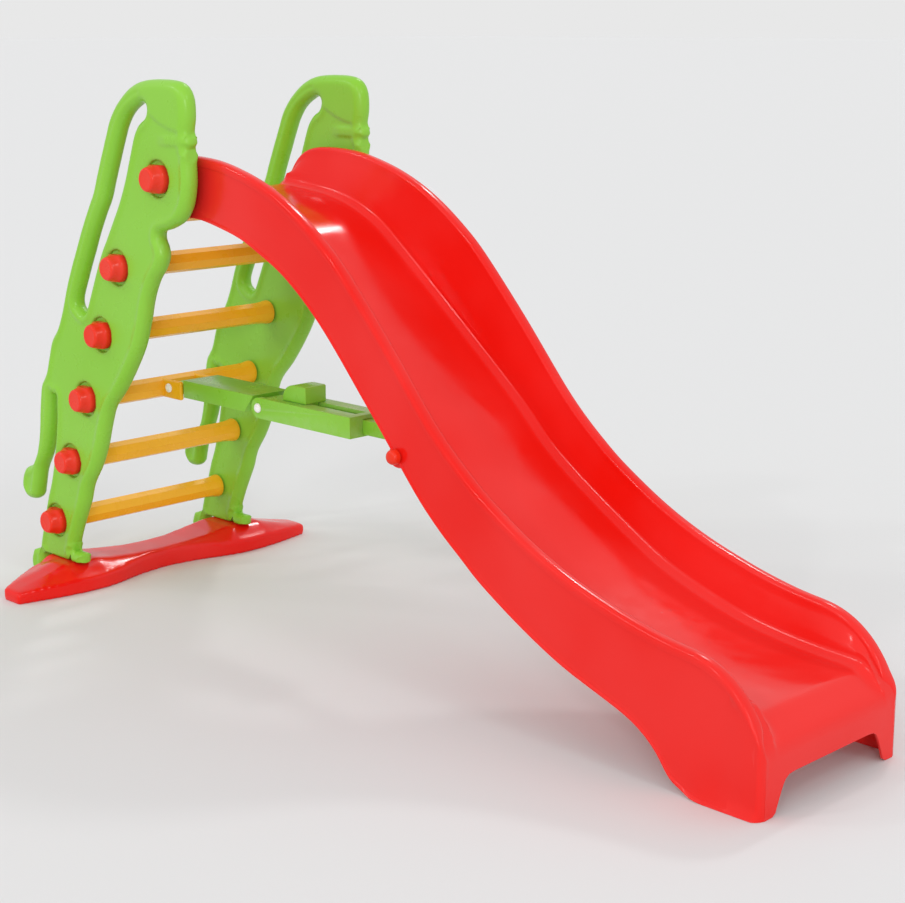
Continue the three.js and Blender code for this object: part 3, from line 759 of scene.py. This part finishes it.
# ---- Knobs ----
def model_knob(stem, reach):
    """A screw knob about y = 0, its face towards -Y: two flats below and a round tapered cap."""
    face = PANEL_LOW.y
    profile = [(stem, face + reach), (stem, face + 0.0137), (0.0322, face + 0.0137),
               (0.0336, face + 0.012),
               (0.0336, face + 0.001), (0.0330, face - 0.0022), (0.0312, face - 0.0048),
               (0.0296, face - 0.0078), (0.0280, face - 0.0120), (0.0266, face - 0.0168),
               (0.0254, face - 0.0207), (0.0244, face - 0.0228), (0.0227, face - 0.0244),
               (0.0200, face - 0.0253), (0.0183, face - 0.0251), (0.0115, face - 0.0248),
               (0.004, face - 0.0247)]
    piece = turned(profile, 0, 0, 64)
    rows = points_of(piece)
    rows[:, 2] = np.clip(rows[:, 2], -KNOB_FLAT, KNOB_FLAT)
    piece.data.vertices.foreach_set("co", rows.ravel())
    piece.data.update()
    modify(piece, "BEVEL", width=0.0012, segments=2, limit_method="ANGLE",
           angle_limit=math.radians(35))
    return piece


class SLIDE_OT_knobs(bpy.types.Operator):
    """The ten rung knobs and the two pivot knobs"""

    bl_idname = "slide.knobs"
    bl_label = "Knobs"

    def execute(self, context):
        knob, pivot = model_knob(0.007, 0.0445), model_knob(0.0104, 0.068)
        for word, side in SIDES:
            for number in range(1, 6):
                node = f"knob_{word}_{number}"
                self.place(knob, node, side)
            self.place(pivot, f"pivot_knob_{word}", side)
        for spare in (knob, pivot):
            bpy.data.objects.remove(spare)
        return {"FINISHED"}

    def place(self, knob, node, side):
        """A copy of the knob at its node."""
        centre = middle_of(node)
        piece = copied(knob, (centre.x, 0, centre.z), flip=side > 0)
        hand_over(piece, node + "_head", "ladder", "knob_plastic", [node])


# ---- Foot bar ----
class SLIDE_OT_foot_bar(bpy.types.Operator):
    """The foot bar, a wavy moulding that thins towards its tips, and its two bolts"""

    bl_idname = "slide.foot_bar"
    bl_label = "Foot bar"

    def execute(self, context):
        piece = node_copy("foot_bar")
        modify(piece, "REMESH", mode="VOXEL", voxel_size=0.004, adaptivity=0)
        rows = points_of(piece)
        modify(piece, "SMOOTH", factor=0.5, iterations=14)
        smooth = points_of(piece)
        smooth[:, 2] += rows[:, 2].max() - smooth[:, 2].max()
        base = rows[:, 2] < 0.001
        smooth[base, 2] = 0
        x = smooth[:, 0] * 1000 + TIP_TO_MIDDLE
        y = np.abs(smooth[:, 1])
        nose = eased(x, -30, 44) * (1 - 0.6 * eased(y, 0.28, 0.42))
        tail = eased(-x, 118, 160) * 0.35
        outside = eased(y, 0.258, 0.285) * eased(-x, 60, 130) * 0.24
        smooth[:, 2] *= (1 - 0.5 * nose) * (1 - tail) * (1 - outside)
        move_points(piece, smooth)
        hand_over(piece, "foot_bar_moulding", "ladder", "red_plastic", ["foot_bar"], smooth=60)
        for word, _ in SIDES:
            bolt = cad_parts[f"foot_bolt_{word}"]
            bolt.data.materials.clear()
            bolt.data.materials.append(finish("steel"))
        return {"FINISHED"}


# ---- Brace ----
class SLIDE_OT_brace(bpy.types.Operator):
    """The folding brace: rear link, slotted channel, tongue and sliding latch"""

    bl_idname = "slide.brace"
    bl_label = "Brace"

    def execute(self, context):
        edge = context.scene.slide_sizes.brace_edge
        for node, body, width in (
            ("rear_link", "rear_link_body", edge), ("brace_channel", "brace_body", edge * 0.8),
            ("brace_tongue", "brace_body", edge), ("latch_slide", "latch_body", edge * 1.2),
        ):
            piece = node_copy(node)
            modify(piece, "BEVEL", width=width, segments=3, limit_method="ANGLE",
                   angle_limit=math.radians(32))
            move_points(piece, points_of(piece))
            hand_over(piece, node + "_moulding", body, "green_plastic", [node])
        return {"FINISHED"}


# ---- Pins and the cross rod ----
class SLIDE_OT_pins(bpy.types.Operator):
    """The two white brace pins with their domed heads"""

    bl_idname = "slide.pins"
    bl_label = "Brace pins"

    def execute(self, context):
        for node in ("clevis_pin", "hinge_pin"):
            low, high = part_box(node)
            centre, end = (low + high) / 2, high.y
            head = [(0.0030, end), (0.0060, end - 0.0007), (0.0082, end - 0.0019),
                    (0.0098, end - 0.0033),
                    (0.0106, end - 0.0048), (0.0106, end - 0.0064), (0.0055, end - 0.0065)]
            profile = head + [(r, -y) for r, y in head[::-1]]
            piece = turned(profile, centre.x, centre.z)
            body = "ladder" if node == "clevis_pin" else "rear_link_body"
            hand_over(piece, node + "_domed", body, "white_plastic", [node], smooth=50)
        return {"FINISHED"}


class SLIDE_OT_cross_rod(bpy.types.Operator):
    """The steel rod under the chute and the caps on its ends"""

    bl_idname = "slide.cross_rod"
    bl_label = "Cross rod"

    def execute(self, context):
        low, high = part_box("cross_rod")
        centre, end = (low + high) / 2, high.y
        rod = turned([(0.0086, -end), (0.0099, -end + 0.0014), (0.0099, 0), (0.0099, end - 0.0014),
                      (0.0086, end)], centre.x, centre.z)
        hand_over(rod, "cross_rod_turned", "chute_body", "steel", ["cross_rod"])
        start = CHUTE_HALF + 0.0003
        profile = [(0.0104, start), (0.0142, start), (0.0149, start + 0.0008),
                   (0.0149, start + 0.0085),
                   (0.0142, start + 0.0112), (0.0123, start + 0.0141), (0.0093, start + 0.0159),
                   (0.0054, start + 0.0169), (0.0010, start + 0.0172)]
        cap = turned(profile, centre.x, centre.z)
        for word, side in SIDES:
            twin = copied(cap, flip=side < 0)
            hand_over(twin, f"rod_cap_{word}_domed", "chute_body", "knob_plastic",
                      [f"rod_cap_{word}"])
        bpy.data.objects.remove(cap)
        return {"FINISHED"}


# ---- Stage ----
FLOOR_SIZE = 300
FLOOR_DROP = 0.0005
SKY_STRENGTH = 0.807
LAMP_DISTANCE = 4
# Each lamp's name, the direction it stands in, its spread in degrees and its strength.
LAMPS = (
    ("key", (0.42, -0.82, 0.62), 6, 0.20),
    ("front", (0.90, -0.10, 0.60), 12, 0.27),
    ("rim", (-0.30, 0.72, 0.85), 6, 0.34),
    ("fill", (0.75, -0.65, 0.25), 14, 0.72),
    ("streak_low", (-0.10, -0.80, 0.60), 3, 0.16),
    ("streak_middle", (-0.40, -0.70, 0.60), 3, 0.16),
    ("streak_high", (-0.62, -0.52, 0.58), 3, 0.16),
)
CAMERA_PLACE = (2.68745, -2.56089, 1.28306)
CAMERA_TILT, CAMERA_TURN = 90 - 13.06, 44.85
SENSOR_WIDTH = 36
FOCAL_SHARE = 1842.06 / 905           # focal length over the sensor's width


class SLIDE_OT_stage(bpy.types.Operator):
    """A wide pale floor, soft lights and the camera"""

    bl_idname = "slide.stage"
    bl_label = "Stage"

    def execute(self, context):
        scene = context.scene
        bpy.ops.object.select_all(action="DESELECT")
        bpy.ops.mesh.primitive_plane_add(size=1, location=(0, 0, -FLOOR_DROP))
        floor = context.object
        floor.name = "pale_floor"
        floor.scale = (FLOOR_SIZE, FLOOR_SIZE, 1)
        bpy.ops.object.transform_apply(location=True, rotation=True, scale=True)
        floor.data.materials.append(self.paint(tuple(scene.slide_colours.backdrop)))
        world = bpy.data.worlds.new("studio")
        world.use_nodes = True
        sky = world.node_tree.nodes["Background"]
        sky.inputs["Color"].default_value = (1, 1, 1, 1)
        sky.inputs["Strength"].default_value = SKY_STRENGTH
        scene.world = world
        for name, towards, spread, power in LAMPS:
            lamp = bpy.data.lights.new(name, "SUN")
            lamp.angle, lamp.energy = math.radians(spread), power
            holder = bpy.data.objects.new(name, lamp)
            scene.collection.objects.link(holder)
            holder.location = Vector(towards) * LAMP_DISTANCE
            holder.rotation_euler = Vector(towards).to_track_quat("Z", "Y").to_euler()
        camera = bpy.data.objects.new("camera", bpy.data.cameras.new("camera"))
        scene.collection.objects.link(camera)
        camera.location = CAMERA_PLACE
        camera.rotation_euler = (math.radians(CAMERA_TILT), 0, math.radians(CAMERA_TURN))
        camera.data.sensor_width = SENSOR_WIDTH
        camera.data.lens = FOCAL_SHARE * SENSOR_WIDTH
        scene.camera = camera
        scene.view_settings.view_transform = "Standard"
        return {"FINISHED"}

    def paint(self, colour):
        """A matt paint for the floor."""
        material = bpy.data.materials.new("floor_paint")
        material.use_nodes = True
        shader = material.node_tree.nodes["Principled BSDF"]
        shader.inputs["Base Color"].default_value = (*colour, 1)
        shader.inputs["Roughness"].default_value = 0.9
        return material


class SLIDE_PT_build(bpy.types.Panel):
    """Lists the slide's sizes, colours and pieces"""

    bl_idname = "SLIDE_PT_build"
    bl_label = "Toddler slide"
    bl_space_type = "VIEW_3D"
    bl_region_type = "UI"
    bl_category = "Slide"

    def draw(self, context):
        for group in (context.scene.slide_sizes, context.scene.slide_colours):
            for name in group.__annotations__:
                self.layout.prop(group, name)
        for operator in OPERATORS:
            self.layout.operator(operator.bl_idname)


OPERATORS = (
    SLIDE_OT_side_panels, SLIDE_OT_chute, SLIDE_OT_rungs, SLIDE_OT_knobs, SLIDE_OT_foot_bar,
    SLIDE_OT_brace, SLIDE_OT_pins, SLIDE_OT_cross_rod, SLIDE_OT_stage,
)
CLASSES = (SlideColours, SlideSizes, *OPERATORS, SLIDE_PT_build)


def register():
    """Adds the classes and the scene's settings."""
    for made in CLASSES:
        bpy.utils.register_class(made)
    bpy.types.Scene.slide_colours = PointerProperty(type=SlideColours)
    bpy.types.Scene.slide_sizes = PointerProperty(type=SlideSizes)


def unregister():
    """Takes the scene's settings and the classes away."""
    del bpy.types.Scene.slide_sizes
    del bpy.types.Scene.slide_colours
    for made in reversed(CLASSES):
        bpy.utils.unregister_class(made)


def main():
    """Builds every piece and the stage."""
    register()
    for operator in OPERATORS:
        getattr(bpy.ops.slide, operator.bl_idname.split(".")[1])()


if __name__ == "__main__":
    main()
